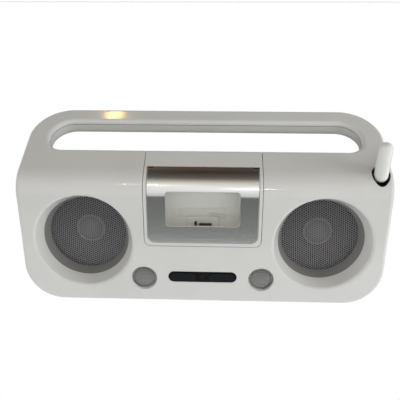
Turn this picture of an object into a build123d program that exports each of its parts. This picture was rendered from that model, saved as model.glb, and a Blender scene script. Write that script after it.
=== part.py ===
from build123d import *
import math
import os

os.makedirs("parts", exist_ok=True)

# ---------------------------------------------------------------------------
# Portable speaker dock with an integrated carry handle, hinged dock door and
# swivel antenna.  Millimetres.  X to the right, Y to the back, Z up, origin on
# the resting plane under the middle of the cabinet.
# ---------------------------------------------------------------------------

# cabinet
WIDTH = 395.0
DEPTH = 116.0
HALF_W = WIDTH / 2
Y_FRONT = -DEPTH / 2
Y_BACK = DEPTH / 2
FOOT_H = 2.5
Z_BASE = FOOT_H
Z_ARC = 126.0          # top of the vertical part of the front
R_ARC = 31.0           # shoulder radius
LEAN = 61.0            # leaning upper face, degrees from vertical
T_TOP = 96.0           # length of the leaning face, shoulder to handle top
R_LOW = 42.0           # lower cabinet corners
R_HANDLE = 46.0        # upper handle corners
SHELL = 4.9            # depth of the front shell
PART_GAP = 0.2         # parting line
WALL = 4.0             # rear housing wall
EDGE_R = 4.7           # front edge rounding
BACK_R = 10.0          # back edge rounding

# handle
SLOT_X = 172.5
SLOT_T0 = 30.0
SLOT_T1 = 74.0
SLOT_R_TOP = 24.0
SLOT_R_LOW = 16.0
HANDLE_T = 21.0
HANDLE_BACK_R = 8.5

# dock
BEZEL_X = 62.8
BEZEL_Z = 71.3
BEZEL_R = 7.0
DOOR_X = 58.7
DOOR_Z = 75.8
DOOR_T = 3.5           # top edge of the door on the leaning face
DOOR_R = 8.5
DOOR_PROUD = 0.4
DOOR_THK = 2.0
DOOR_EDGE_R = 0.5
GAP_R = 0.4            # softened edges along the parting gaps
WIN_X = 39.1
WIN_Z0 = 95.2
WIN_Z1 = 133.3
WIN_R = 3.4
HINGE_T = 2.0
HINGE_D = 1.2
KNUCKLE_R = 1.6
GROOVE_R = 2.5
BRACKET_R = 2.2
PIN_R = 1.0

# speakers
WOOF_X = 129.0
WOOF_Z = 75.1
WOOF_R0 = 53.3         # cone recess at the face
WOOF_R1 = 47.0         # cone recess at its floor
WOOF_D1 = 14.0
WOOF_LIP_R = 4.0       # rounding of the recess mouth
MESH_R = 42.6
MESH_D = 25.2
TWEET_X = 64.4
TWEET_Z = 31.7
TWEET_R0 = 14.2
TWEET_R1 = 12.9
TWEET_MESH_R = 12.4
TWEET_DOME_R = 55.6

# front controls
PILL_Z = 34.2
PILL_L = 75.0
PILL_H = 12.6
BTN_X = 20.9
BTN_L = 29.4
BTN_H = 9.8
BTN_TRAVEL = 1.2

# antenna
ANT_X = 184.2
ANT_D = 13.3
ANT_HOLE_R = 9.6
ANT_R = 7.3
ANT_PIVOT_Z = 148.4
ANT_TOP_Z = 185.4
ANT_TAIL = 5.8
ANT_LEAN = -3.0

SB, CB = math.sin(math.radians(LEAN)), math.cos(math.radians(LEAN))
ARC_Y = Y_FRONT + R_ARC


def slope_pt(t, d):
    """(Y, Z) of a point t up the leaning face and d below its surface."""
    y0 = Y_FRONT + R_ARC * (1 - CB)
    z0 = Z_ARC + R_ARC * SB
    return (y0 + t * SB + d * CB, z0 + t * CB - d * SB)


def arc_pt(deg, d):
    a = math.radians(deg)
    return (ARC_Y - (R_ARC - d) * math.cos(a), Z_ARC + (R_ARC - d) * math.sin(a))


def band(d0, d1, z_lo, t_hi, half):
    """Strip that follows the front from depth d0 to d1, drawn on the plane X = -half."""
    with BuildSketch(Plane.YZ.offset(-half)) as s:
        with BuildLine():
            Line((Y_FRONT + d0, z_lo), (Y_FRONT + d0, Z_ARC))
            ThreePointArc((Y_FRONT + d0, Z_ARC), arc_pt(LEAN / 2, d0), arc_pt(LEAN, d0))
            Line(arc_pt(LEAN, d0), slope_pt(t_hi, d0))
            Line(slope_pt(t_hi, d0), slope_pt(t_hi, d1))
            Line(slope_pt(t_hi, d1), arc_pt(LEAN, d1))
            ThreePointArc(arc_pt(LEAN, d1), arc_pt(LEAN / 2, d1), (Y_FRONT + d1, Z_ARC))
            Line((Y_FRONT + d1, Z_ARC), (Y_FRONT + d1, z_lo))
            Line((Y_FRONT + d1, z_lo), (Y_FRONT + d0, z_lo))
        make_face()
    return s.sketch


def turned(cx, cz, points):
    """Half section (radius, depth) on the axis through (cx, cz), parallel to Y."""
    with BuildSketch(Plane((cx, Y_FRONT, cz), x_dir=(1, 0, 0), z_dir=(0, 0, 1))) as s:
        with BuildLine():
            Polyline(*points, close=True)
        make_face()
    return s.sketch


def recess_section(cx, cz):
    """Half section of a woofer recess: rounded mouth, cone, then straight."""
    wall = math.hypot(WOOF_R0 - WOOF_R1, WOOF_D1)
    ur, ud = (WOOF_R1 - WOOF_R0) / wall, WOOF_D1 / wall
    run = WOOF_LIP_R * math.tan((math.pi / 2 - math.atan2(-ur, ud)) / 2)
    mid = Vector(-ud, -1 + ur).normalized() * WOOF_LIP_R
    start = (WOOF_R0 + run, 0.0)
    with BuildSketch(Plane((cx, Y_FRONT, cz), x_dir=(1, 0, 0), z_dir=(0, 0, 1))) as s:
        with BuildLine():
            Line((0, 30), (0, -8))
            Line((0, -8), (start[0], -8))
            Line((start[0], -8), start)
            ThreePointArc(
                start,
                (start[0] + mid.X, WOOF_LIP_R + mid.Y),
                (WOOF_R0 + run * ur, run * ud),
            )
            Line((WOOF_R0 + run * ur, run * ud), (WOOF_R1, WOOF_D1))
            Line((WOOF_R1, WOOF_D1), (WOOF_R1, 30))
            Line((WOOF_R1, 30), (0, 30))
        make_face()
    return s.sketch


def front_plane(depth):
    """Plane parallel to the front, looking forward: local x = X, local y = Z."""
    return Plane((0, Y_FRONT + depth, 0), x_dir=(1, 0, 0), z_dir=(0, -1, 0))


def slot_sketch(plane, cx, cz, length, height, grow=0.0):
    with BuildSketch(plane) as s:
        with Locations((cx, cz)):
            SlotOverall(length + 2 * grow, height + 2 * grow)
    return s.sketch


def rect_sketch(plane, x0, x1, z0, z1, r=0.0):
    with BuildSketch(plane) as s:
        with Locations(((x0 + x1) / 2, (z0 + z1) / 2)):
            if r > 0:
                RectangleRounded(x1 - x0, z1 - z0, r)
            else:
                Rectangle(x1 - x0, z1 - z0)
    return s.sketch


def disc_sketch(plane, spots, r):
    with BuildSketch(plane) as s:
        with Locations(*spots):
            Circle(r)
    return s.sketch


def save(builder, name):
    builder.part.label = name
    export_step(builder.part, f"parts/{name}.step")
    return builder.part


# leaning face: local x = X, local y = up the slope, normal outwards
_o = slope_pt(0, 0)
SLOPE = Plane((0, _o[0], _o[1]), x_dir=(1, 0, 0), z_dir=(0, -CB, SB))


def slot_outline():
    with BuildSketch(SLOPE) as s:
        with Locations((0, (SLOT_T0 + SLOT_T1) / 2)):
            Rectangle(2 * SLOT_X, SLOT_T1 - SLOT_T0)
        # vertices are in the plane's own coordinates here
        fillet(s.vertices().group_by(Axis.Y)[-1], SLOT_R_TOP)
        fillet(s.vertices().group_by(Axis.Y)[0], SLOT_R_LOW)
    return s.sketch


def depth_of(p):
    """Depth of a point below the outer front surface."""
    y, z = p.Y, p.Z
    a = slope_pt(0, 0)
    t = (y - a[0]) * SB + (z - a[1]) * CB
    if t >= 0:
        return (y - a[0]) * CB - (z - a[1]) * SB
    if z <= Z_ARC:
        return y - Y_FRONT
    return R_ARC - math.hypot(y - ARC_Y, z - Z_ARC)


# ---------------------------------------------------------------------------
# front skin: the curved strip with handle slot and rounded edges, before it is
# divided into the front housing and the centre bezel
# ---------------------------------------------------------------------------
with BuildPart() as front_skin:
    extrude(band(0, SHELL, Z_BASE, T_TOP, HALF_W), amount=WIDTH)
    low = front_skin.edges().filter_by(Axis.Y).group_by(Axis.Z)[0]
    fillet(low, R_LOW)
    n_axis = Axis((0, 0, 0), (0, -CB, SB))
    top = front_skin.edges().filter_by(n_axis).filter_by(lambda e: abs(e.center().X) > HALF_W - 1)
    top = top.sort_by(Axis.Z)[-2:]
    fillet(top, R_HANDLE)
    extrude(slot_outline(), amount=30, both=True, mode=Mode.SUBTRACT)
    seams = (Z_ARC, slope_pt(0, 0)[1])
    rim = front_skin.edges().filter_by(
        lambda e: all(abs(depth_of(e @ u)) < 0.02 for u in (0.02, 0.35, 0.5, 0.8, 0.98))
        and not (
            abs(e.center().X) < 1
            and min(abs(e.center().Z - s) for s in seams) < 0.05
        )
    )
    fillet(rim, EDGE_R)


def at_depth(e, d):
    """True for an edge that runs at one depth below the outer surface."""
    return all(abs(depth_of(e @ u) - d) < 0.03 for u in (0.02, 0.3, 0.5, 0.7, 0.98))


def zone(half, z0, r, t1, d1=12.0):
    """Solid that marks out a panel of the front between -half and half."""
    with BuildPart() as b:
        extrude(band(-6, d1, z0, t1, half), amount=2 * half)
        fillet(b.edges().filter_by(Axis.Y).group_by(Axis.Z)[0], r)
    return b.part


bezel_outer = zone(BEZEL_X + 0.25, BEZEL_Z - 0.25, BEZEL_R + 0.25, 52)
bezel_inner = zone(BEZEL_X - 0.25, BEZEL_Z + 0.25, BEZEL_R - 0.25, 52)

# speaker screw bosses, 45 degrees round each woofer
BOSS_R = 53.5
DIAG = [(i * BOSS_R * math.sqrt(0.5), j * BOSS_R * math.sqrt(0.5)) for i in (-1, 1) for j in (-1, 1)]
WOOF_SPOTS = [(s * WOOF_X + dx, WOOF_Z + dz) for s in (-1, 1) for dx, dz in DIAG]
# cabinet screw wells
WELLS = [(-178.5, 21.5), (178.5, 21.5), (-185.0, 92.0), (185.0, 92.0)]

# ---------------------------------------------------------------------------
# front housing
# ---------------------------------------------------------------------------
with BuildPart() as front_housing:
    add(front_skin.part)
    add(bezel_outer, mode=Mode.SUBTRACT)
    # hollow back, below the handle and beside the bezel
    for sx in (-1, 1):
        xa, xb = (BEZEL_X + 4, HALF_W - 5.5)
        x0, x1 = (xa, xb) if sx > 0 else (-xb, -xa)
        with BuildSketch(front_plane(SHELL)) as relief:
            with Locations(((x0 + x1) / 2, (Z_BASE + 7 + 124) / 2)):
                RectangleRounded(x1 - x0, 124 - Z_BASE - 7, 12)
            with Locations((sx * (HALF_W - 0.0), Z_BASE)):
                Circle(46, mode=Mode.SUBTRACT)
        extrude(relief.sketch, amount=1.9, mode=Mode.SUBTRACT)
    # woofer collars and bosses behind the face
    for sx in (-1, 1):
        revolve(
            turned(sx * WOOF_X, WOOF_Z, [(0, 2.0), (WOOF_R0 + 2.2, 2.0), (WOOF_R1 + 3.0, WOOF_D1), (0, WOOF_D1)]),
            axis=Axis((sx * WOOF_X, Y_FRONT, WOOF_Z), (0, 1, 0)),
        )
    extrude(disc_sketch(front_plane(3.0), WOOF_SPOTS, 4.0), amount=-(26.4 - 3.0))
    extrude(disc_sketch(front_plane(3.0), WELLS, 4.5), amount=-(12.0 - 3.0))
    # woofer recesses
    for sx in (-1, 1):
        revolve(
            recess_section(sx * WOOF_X, WOOF_Z),
            axis=Axis((sx * WOOF_X, Y_FRONT, WOOF_Z), (0, 1, 0)),
            mode=Mode.SUBTRACT,
        )
        revolve(
            turned(
                sx * TWEET_X,
                TWEET_Z,
                [(0, -1.0), (TWEET_R0 + 0.3, -1.0), (TWEET_R0, 0.0), (TWEET_R1, SHELL), (TWEET_R1, 8), (0, 8)],
            ),
            axis=Axis((sx * TWEET_X, Y_FRONT, TWEET_Z), (0, 1, 0)),
            mode=Mode.SUBTRACT,
        )
    # screw pilot holes
    extrude(disc_sketch(front_plane(27.0), WOOF_SPOTS, 1.45), amount=12.0, mode=Mode.SUBTRACT)
    extrude(disc_sketch(front_plane(13.0), WELLS, 1.45), amount=8.0, mode=Mode.SUBTRACT)
    # control opening
    extrude(
        slot_sketch(front_plane(8), 0, PILL_Z, PILL_L, PILL_H, 0.2), amount=12, mode=Mode.SUBTRACT
    )
    # antenna well through the shoulder
    with BuildSketch(Plane.XY.offset(120)) as well:
        with Locations((ANT_X, Y_FRONT + ANT_D)):
            Circle(ANT_HOLE_R)
    extrude(well.sketch, amount=60, mode=Mode.SUBTRACT)
    # softened edge along the parting gap
    fillet(
        front_housing.edges().filter_by(
            lambda e: at_depth(e, 0)
            and abs((e @ 0.5).X) < BEZEL_X + 0.3
            and e.length > 3
            and BEZEL_Z - 1 < (e @ 0.5).Z < 165
        ),
        GAP_R,
    )
save(front_housing, "front_housing")

# ---------------------------------------------------------------------------
# centre bezel with the door opening
# ---------------------------------------------------------------------------
hinge_yz = slope_pt(HINGE_T, HINGE_D)
# rebate for the door
with BuildPart() as rebate:
    extrude(band(-3, 2.0, DOOR_Z - 0.5, DOOR_T + 0.6, DOOR_X + 0.5), amount=2 * DOOR_X + 1)
    fillet(rebate.edges().filter_by(Axis.Y).group_by(Axis.Z)[0], DOOR_R)

with BuildPart() as center_bezel:
    add(front_skin.part)
    add(bezel_inner, mode=Mode.INTERSECT)
    add(rebate.part, mode=Mode.SUBTRACT)
    # mouth of the dock bay
    extrude(
        rect_sketch(front_plane(24), -53, 53, DOOR_Z + 5, 148.0, 4.0), amount=30, mode=Mode.SUBTRACT
    )
    # groove round the hinge axis
    with BuildSketch(Plane.YZ.offset(-DOOR_X - 0.5)) as groove:
        with Locations(hinge_yz):
            Circle(GROOVE_R)
    extrude(groove.sketch, amount=2 * DOOR_X + 1, mode=Mode.SUBTRACT)
    with BuildSketch(Plane.YZ.offset(-BEZEL_X + 1.5)) as pinhole:
        with Locations(hinge_yz):
            Circle(PIN_R + 0.02)
    extrude(pinhole.sketch, amount=2 * BEZEL_X - 3.0, mode=Mode.SUBTRACT)
    # softened edge along the parting gap
    fillet(
        center_bezel.edges().filter_by(lambda e: at_depth(e, 0) and abs((e @ 0.5).X) > BEZEL_X - 2.6),
        GAP_R,
    )
save(center_bezel, "center_bezel")

# hinge brackets: barrels at both ends of the door's top edge, cut flush with its face
with BuildPart() as door_hinge_brackets:
    for x0 in (-DOOR_X - 0.5, 52.6):
        with BuildSketch(Plane.YZ.offset(x0)) as barrel:
            with Locations(hinge_yz):
                Circle(BRACKET_R)
            with BuildLine():
                Polyline(
                    slope_pt(HINGE_T - 3, -DOOR_PROUD),
                    slope_pt(HINGE_T - 3, -4),
                    slope_pt(HINGE_T + 3, -4),
                    slope_pt(HINGE_T + 3, -DOOR_PROUD),
                    close=True,
                )
            make_face(mode=Mode.SUBTRACT)
            with BuildLine():
                Polyline(
                    slope_pt(HINGE_T - 1.5, HINGE_D + 1.2),
                    slope_pt(HINGE_T - 1.5, SHELL - 0.3),
                    slope_pt(HINGE_T + 1.5, SHELL - 0.3),
                    slope_pt(HINGE_T + 1.5, HINGE_D + 1.2),
                    close=True,
                )
            make_face()
        extrude(barrel.sketch, amount=DOOR_X + 0.5 - 52.6)
    add(center_bezel.part, mode=Mode.SUBTRACT)
    with BuildSketch(Plane.YZ.offset(-DOOR_X - 1)) as eye:
        with Locations(hinge_yz):
            Circle(PIN_R + 0.02)
    extrude(eye.sketch, amount=2 * DOOR_X + 2, mode=Mode.SUBTRACT)
save(door_hinge_brackets, "door_hinge_brackets")

# ---------------------------------------------------------------------------
# dock door: formed aluminium plate with a window and two hinge knuckles
# ---------------------------------------------------------------------------
KNUCKLES = ((-51.8, -40.0), (40.0, 51.8))
with BuildPart() as dock_door:
    extrude(band(-DOOR_PROUD, DOOR_THK - DOOR_PROUD, DOOR_Z, DOOR_T, DOOR_X), amount=2 * DOOR_X)
    fillet(dock_door.edges().filter_by(Axis.Y).group_by(Axis.Z)[0], DOOR_R)
    extrude(
        rect_sketch(front_plane(20), -WIN_X, WIN_X, WIN_Z0, WIN_Z1, WIN_R), amount=30, mode=Mode.SUBTRACT
    )
    # clearance for the hinge lugs, and for the pin between knuckles
    for x0 in (-DOOR_X - 1, 52.2):
        with BuildSketch(Plane.YZ.offset(x0)) as notch:
            with BuildLine():
                Polyline(
                    slope_pt(-0.5, -3), slope_pt(-0.5, 5), slope_pt(8, 5), slope_pt(8, -3), close=True
                )
            make_face()
        extrude(notch.sketch, amount=DOOR_X + 1 - 52.2, mode=Mode.SUBTRACT)
    for x0, x1 in KNUCKLES:
        with BuildSketch(Plane.YZ.offset(x0)) as knuckle:
            with Locations(hinge_yz):
                Circle(KNUCKLE_R)
        extrude(knuckle.sketch, amount=x1 - x0)
    with BuildSketch(Plane.YZ.offset(-DOOR_X - 1)) as bore:
        with Locations(hinge_yz):
            Circle(PIN_R + 0.05)
    extrude(bore.sketch, amount=2 * DOOR_X + 2, mode=Mode.SUBTRACT)
    # rolled outer edge and window edge
    fillet(
        dock_door.edges().filter_by(
            lambda e: at_depth(e, -DOOR_PROUD) and (abs(e.center().X) > 58.6 or e.center().Z < 79)
        ),
        DOOR_EDGE_R,
    )
    fillet(
        dock_door.edges().filter_by(
            lambda e: at_depth(e, -DOOR_PROUD) and abs(e.center().X) < 40.3 and 94 < e.center().Z < 133.6
        ),
        DOOR_EDGE_R,
    )
save(dock_door, "dock_door")

with BuildPart() as door_hinge_pins:
    for x0 in (-60.5, 38.5):
        with BuildSketch(Plane.YZ.offset(x0)) as pin:
            with Locations(hinge_yz):
                Circle(PIN_R)
        extrude(pin.sketch, amount=22.0)
save(door_hinge_pins, "door_hinge_pins")

# ---------------------------------------------------------------------------
# dock bay: box behind the bezel that holds the cradle
# ---------------------------------------------------------------------------
BAY_X = 55.0
BAY_BACK = 45.4
BAY_Z0 = 78.0
BAY_T = 1.0


def bay_section(d, inset, x0):
    top = slope_pt(BAY_T, d)
    zt = top[1] - inset
    with BuildSketch(Plane.YZ.offset(x0)) as s:
        with BuildLine():
            Line((Y_FRONT + d, BAY_Z0 + inset), (Y_FRONT + d, Z_ARC))
            ThreePointArc((Y_FRONT + d, Z_ARC), arc_pt(LEAN / 2, d), arc_pt(LEAN, d))
            Line(arc_pt(LEAN, d), top)
            Line(top, (Y_FRONT + BAY_BACK - inset, top[1]))
            Line((Y_FRONT + BAY_BACK - inset, top[1]), (Y_FRONT + BAY_BACK - inset, BAY_Z0 + inset))
            Line((Y_FRONT + BAY_BACK - inset, BAY_Z0 + inset), (Y_FRONT + d, BAY_Z0 + inset))
        make_face()
    return s.sketch


with BuildPart() as dock_bay:
    extrude(bay_section(SHELL + 0.1, 0.0, -BAY_X), amount=2 * BAY_X)
    zt = slope_pt(BAY_T, SHELL + 0.1)[1] - 2.0
    # inner space, open to the front
    with BuildSketch(Plane.YZ.offset(-BAY_X + 2)) as inner:
        with BuildLine():
            Polyline(
                (Y_FRONT - 5, BAY_Z0 + 2),
                (Y_FRONT - 5, zt),
                (Y_FRONT + BAY_BACK - 2, zt),
                (Y_FRONT + BAY_BACK - 2, BAY_Z0 + 2),
                close=True,
            )
        make_face()
    extrude(inner.sketch, amount=2 * BAY_X - 4, mode=Mode.SUBTRACT)
save(dock_bay, "dock_bay")

CR_BACK = BAY_BACK - 2.2
CR_FACE = 31.0
PLUG_FACE = 27.5
with BuildPart() as dock_cradle:
    with BuildSketch(Plane.YZ.offset(-52.6)) as side:
        with BuildLine():
            Polyline(
                (Y_FRONT + 7.0, BAY_Z0 + 2.3),
                (Y_FRONT + 7.0, BAY_Z0 + 4.5),
                (Y_FRONT + CR_FACE - 1.0, BAY_Z0 + 4.5),
                (Y_FRONT + CR_FACE - 1.0, 104.2),
                (Y_FRONT + CR_FACE, 105.2),
                (Y_FRONT + CR_FACE, 143.0),
                (Y_FRONT + CR_BACK, 143.0),
                (Y_FRONT + CR_BACK, BAY_Z0 + 2.3),
                close=True,
            )
        make_face()
    extrude(side.sketch, amount=105.2)
    # shallow seat for the receiver
    extrude(
        rect_sketch(front_plane(CR_FACE + 1.6), -27.0, 25.0, 92.0, 104.0, 0.8),
        amount=8,
        mode=Mode.SUBTRACT,
    )
    # plug block
    extrude(rect_sketch(front_plane(CR_FACE + 0.6), -17.9, 16.5, BAY_Z0 + 4.5, 93.8, 0), amount=CR_FACE + 0.6 - PLUG_FACE)
    fillet(
        dock_cradle.edges().filter_by(Axis.X).filter_by(
            lambda e: abs(e.center().Z - 93.8) < 0.1 and abs(e.center().Y - Y_FRONT - PLUG_FACE) < 0.1
        ),
        0.8,
    )
    # sloping guide rib
    with BuildSketch(front_plane(CR_FACE + 0.2)) as rib:
        with BuildLine():
            Polyline((6.0, 98.2), (36.0, 94.6), (36.0, 94.0), (6.0, 97.6), close=True)
        make_face()
    extrude(rib.sketch, amount=2.0)
    # pockets for plug and key pin
    extrude(rect_sketch(front_plane(PLUG_FACE + 4.0), -4.6, 9.3, 79.8, 87.0, 0.5), amount=8, mode=Mode.SUBTRACT)
    extrude(rect_sketch(front_plane(PLUG_FACE + 4.0), -9.9, -7.2, 81.0, 89.4, 1.0), amount=8, mode=Mode.SUBTRACT)
save(dock_cradle, "dock_cradle")

with BuildPart() as dock_connector:
    extrude(rect_sketch(front_plane(PLUG_FACE + 3.9), -4.5, 9.2, 80.4, 86.9, 0.4), amount=7.4)
    extrude(rect_sketch(front_plane(25.6), -3.3, 8.0, 82.3, 84.7, 0.4), amount=3.0, mode=Mode.SUBTRACT)
save(dock_connector, "dock_connector")

with BuildPart() as dock_key_pin:
    extrude(rect_sketch(front_plane(PLUG_FACE + 3.9), -9.8, -7.3, 81.1, 89.3, 0.9), amount=7.0)
save(dock_key_pin, "dock_key_pin")

# ---------------------------------------------------------------------------
# woofers: ring, grille, basket, cone, dust cap, magnet
# ---------------------------------------------------------------------------
WAX = Axis((WOOF_X, Y_FRONT, WOOF_Z), (0, 1, 0))


def pair(builder, left_name, right_name):
    """Write a right-hand piece and its mirror image."""
    save(builder, right_name)
    with BuildPart() as other:
        mirror(builder.part, about=Plane.YZ)
    save(other, left_name)


with BuildPart() as w_ring:
    revolve(
        turned(
            WOOF_X,
            WOOF_Z,
            [
                (WOOF_R1 - 0.3, WOOF_D1 + 0.1),
                (WOOF_R1 + 2.2, WOOF_D1 + 0.1),
                (WOOF_R1 + 2.2, WOOF_D1 + 2.5),
                (MESH_R + 4.6, WOOF_D1 + 5.0),
                (MESH_R + 4.6, MESH_D + 1.4),
                (MESH_R + 3.0, MESH_D + 1.4),
                (MESH_R + 3.0, MESH_D),
                (MESH_R, MESH_D),
                (MESH_R, MESH_D - 1.0),
            ],
        ),
        axis=WAX,
    )
pair(w_ring, "left_woofer_ring", "right_woofer_ring")

with BuildPart() as w_grille:
    revolve(
        turned(WOOF_X, WOOF_Z, [(0, MESH_D + 0.1), (MESH_R + 2.8, MESH_D + 0.1), (MESH_R + 2.8, MESH_D + 1.2), (0, MESH_D + 1.2)]),
        axis=WAX,
    )
    # ring of drainage-size perforations near the rim, the fine field is inside it
    with BuildSketch(Plane((WOOF_X, Y_FRONT + MESH_D + 2, WOOF_Z), x_dir=(1, 0, 0), z_dir=(0, -1, 0))) as holes:
        for rr, nn in ((6.0, 6), (12.0, 12), (18.0, 18), (24.0, 24), (30.0, 30), (36.0, 36)):
            with PolarLocations(rr, nn):
                Circle(1.1)
    extrude(holes.sketch, amount=4, mode=Mode.SUBTRACT)
pair(w_grille, "left_woofer_grille", "right_woofer_grille")

with BuildPart() as w_basket:
    revolve(
        turned(
            WOOF_X,
            WOOF_Z,
            [
                (41.5, 26.8),
                (48.5, 26.8),
                (48.5, 28.6),
                (45.0, 28.6),
                (25.5, 50.0),
                (25.5, 51.8),
                (13.4, 51.8),
                (13.4, 50.2),
                (23.6, 50.2),
                (41.5, 30.4),
            ],
        ),
        axis=WAX,
    )
    for dx, dz in DIAG:
        extrude(disc_sketch(front_plane(28.6), [(WOOF_X + dx, WOOF_Z + dz)], 4.6), amount=1.8)
    with BuildSketch(front_plane(28.6)) as tabs:
        for rot in (45, 135):
            with Locations(Location((WOOF_X, WOOF_Z, 0), (0, 0, rot))):
                Rectangle(2 * BOSS_R, 9.2)
        with Locations((WOOF_X, WOOF_Z)):
            Circle(45, mode=Mode.SUBTRACT)
    extrude(tabs.sketch, amount=1.8)
    # windows in the basket wall
    with BuildSketch(front_plane(49.0)) as wins:
        with Locations((WOOF_X, WOOF_Z)):
            with PolarLocations(32.5, 6, start_angle=30):
                RectangleRounded(12, 17, 3)
    extrude(wins.sketch, amount=18.0, mode=Mode.SUBTRACT)
    extrude(
        disc_sketch(front_plane(30.0), [(WOOF_X + dx, WOOF_Z + dz) for dx, dz in DIAG], 1.8),
        amount=5,
        mode=Mode.SUBTRACT,
    )
pair(w_basket, "left_woofer_basket", "right_woofer_basket")

with BuildPart() as w_cone:
    with BuildSketch(Plane((WOOF_X, Y_FRONT, WOOF_Z), x_dir=(1, 0, 0), z_dir=(0, 0, 1))) as sec:
        with BuildLine():
            Line((41.2, 30.2), (39.6, 30.2))
            ThreePointArc((39.6, 30.2), (37.0, 28.0), (34.4, 30.2))
            Line((34.4, 30.2), (14.0, 39.6))
            Line((14.0, 39.6), (14.0, 49.6))
            Line((14.0, 49.6), (13.2, 49.6))
            Line((13.2, 49.6), (13.2, 38.8))
            Line((13.2, 38.8), (34.0, 29.2))
            ThreePointArc((34.0, 29.2), (37.0, 26.8), (40.2, 29.4))
            Line((40.2, 29.4), (41.2, 29.4))
            Line((41.2, 29.4), (41.2, 30.2))
        make_face()
    revolve(sec.sketch, axis=WAX)
pair(w_cone, "left_woofer_cone", "right_woofer_cone")

def dome_pt(r0, crest, radius, share, reach=58.5):
    """Point on a spherical dome: crest depth, sphere radius, share of the half angle."""
    a = math.radians(reach * share)
    return (r0 + radius * math.sin(a), crest + radius * (1 - math.cos(a)))


with BuildPart() as w_cap:
    with BuildSketch(Plane((WOOF_X, Y_FRONT, WOOF_Z), x_dir=(1, 0, 0), z_dir=(0, 0, 1))) as sec:
        with BuildLine():
            ThreePointArc(dome_pt(0, 29.0, 17.6, 0), dome_pt(0, 29.0, 17.6, 0.5), dome_pt(0, 29.0, 17.6, 1))
            Line(dome_pt(0, 29.0, 17.6, 1), dome_pt(0, 29.9, 16.7, 1))
            ThreePointArc(dome_pt(0, 29.9, 16.7, 1), dome_pt(0, 29.9, 16.7, 0.5), dome_pt(0, 29.9, 16.7, 0))
            Line(dome_pt(0, 29.9, 16.7, 0), dome_pt(0, 29.0, 17.6, 0))
        make_face()
    revolve(sec.sketch, axis=WAX)
pair(w_cap, "left_woofer_dust_cap", "right_woofer_dust_cap")

with BuildPart() as w_magnet:
    revolve(
        turned(
            WOOF_X,
            WOOF_Z,
            [
                (0, 46.0),
                (12.4, 46.0),
                (12.4, 56.0),
                (15.0, 56.0),
                (15.0, 51.9),
                (36.0, 51.9),
                (36.0, 66.0),
                (30.0, 66.0),
                (30.0, 70.0),
                (0, 70.0),
            ],
        ),
        axis=WAX,
    )
pair(w_magnet, "left_woofer_magnet", "right_woofer_magnet")

with BuildPart() as woofer_screws:
    extrude(disc_sketch(front_plane(30.9), WOOF_SPOTS, 3.0), amount=2.2)
    extrude(disc_sketch(front_plane(28.7), WOOF_SPOTS, 1.35), amount=12.5)
save(woofer_screws, "woofer_screws")

# ---------------------------------------------------------------------------
# tweeters
# ---------------------------------------------------------------------------
TAX = Axis((TWEET_X, Y_FRONT, TWEET_Z), (0, 1, 0))
reach = math.degrees(math.asin(TWEET_MESH_R / TWEET_DOME_R))
reach_in = math.degrees(math.asin(11.7 / (TWEET_DOME_R - 0.8)))
with BuildPart() as t_grille:
    with BuildSketch(Plane((TWEET_X, Y_FRONT, TWEET_Z), x_dir=(1, 0, 0), z_dir=(0, 0, 1))) as sec:
        with BuildLine():
            ThreePointArc(*[dome_pt(0, 1.2, TWEET_DOME_R, k, reach) for k in (0, 0.5, 1)])
            Polyline(
                dome_pt(0, 1.2, TWEET_DOME_R, 1, reach),
                (TWEET_MESH_R, 5.0),
                (16.0, 5.0),
                (16.0, 5.8),
                (11.7, 5.8),
                dome_pt(0, 2.0, TWEET_DOME_R - 0.8, 1, reach_in),
            )
            ThreePointArc(*[dome_pt(0, 2.0, TWEET_DOME_R - 0.8, k, reach_in) for k in (1, 0.5, 0)])
            Line((0, 2.0), (0, 1.2))
        make_face()
    revolve(sec.sketch, axis=TAX)
    with BuildSketch(Plane((TWEET_X, Y_FRONT + 8, TWEET_Z), x_dir=(1, 0, 0), z_dir=(0, -1, 0))) as holes:
        for rr, nn in ((3.0, 6), (6.0, 12), (9.0, 18)):
            with PolarLocations(rr, nn):
                Circle(0.7)
    extrude(holes.sketch, amount=8, mode=Mode.SUBTRACT)
pair(t_grille, "left_tweeter_grille", "right_tweeter_grille")

with BuildPart() as t_driver:
    with BuildSketch(Plane((TWEET_X, Y_FRONT, TWEET_Z), x_dir=(1, 0, 0), z_dir=(0, 0, 1))) as sec:
        with BuildLine():
            ThreePointArc((0, 6.4), (4.0, 7.0), (7.5, 9.0))
            Polyline((7.5, 9.0), (9.5, 9.0), (12.5, 6.1), (17.5, 6.1), (17.5, 12.0), (14.0, 12.0), (14.0, 21.0), (0, 21.0), (0, 6.4))
        make_face()
    revolve(sec.sketch, axis=TAX)
pair(t_driver, "left_tweeter_driver", "right_tweeter_driver")

# ---------------------------------------------------------------------------
# front controls
# ---------------------------------------------------------------------------
with BuildPart() as control_bezel:
    extrude(slot_sketch(front_plane(5.0), 0, PILL_Z, PILL_L, PILL_H), amount=5.2)
    extrude(slot_sketch(front_plane(6.2), 0, PILL_Z, PILL_L + 5, PILL_H + 4), amount=1.2)
    for sx in (-1, 1):
        extrude(
            slot_sketch(front_plane(8), sx * BTN_X, PILL_Z, BTN_L, BTN_H, 0.3), amount=12, mode=Mode.SUBTRACT
        )
    extrude(disc_sketch(front_plane(8), [(0, PILL_Z)], 2.6), amount=12, mode=Mode.SUBTRACT)
    fillet(control_bezel.edges().filter_by(lambda e: at_depth(e, -0.2)), 0.35)
save(control_bezel, "control_bezel")

with BuildPart() as ir_window:
    extrude(disc_sketch(front_plane(6.0), [(0, PILL_Z)], 2.5), amount=6.1)
save(ir_window, "ir_window")

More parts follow.
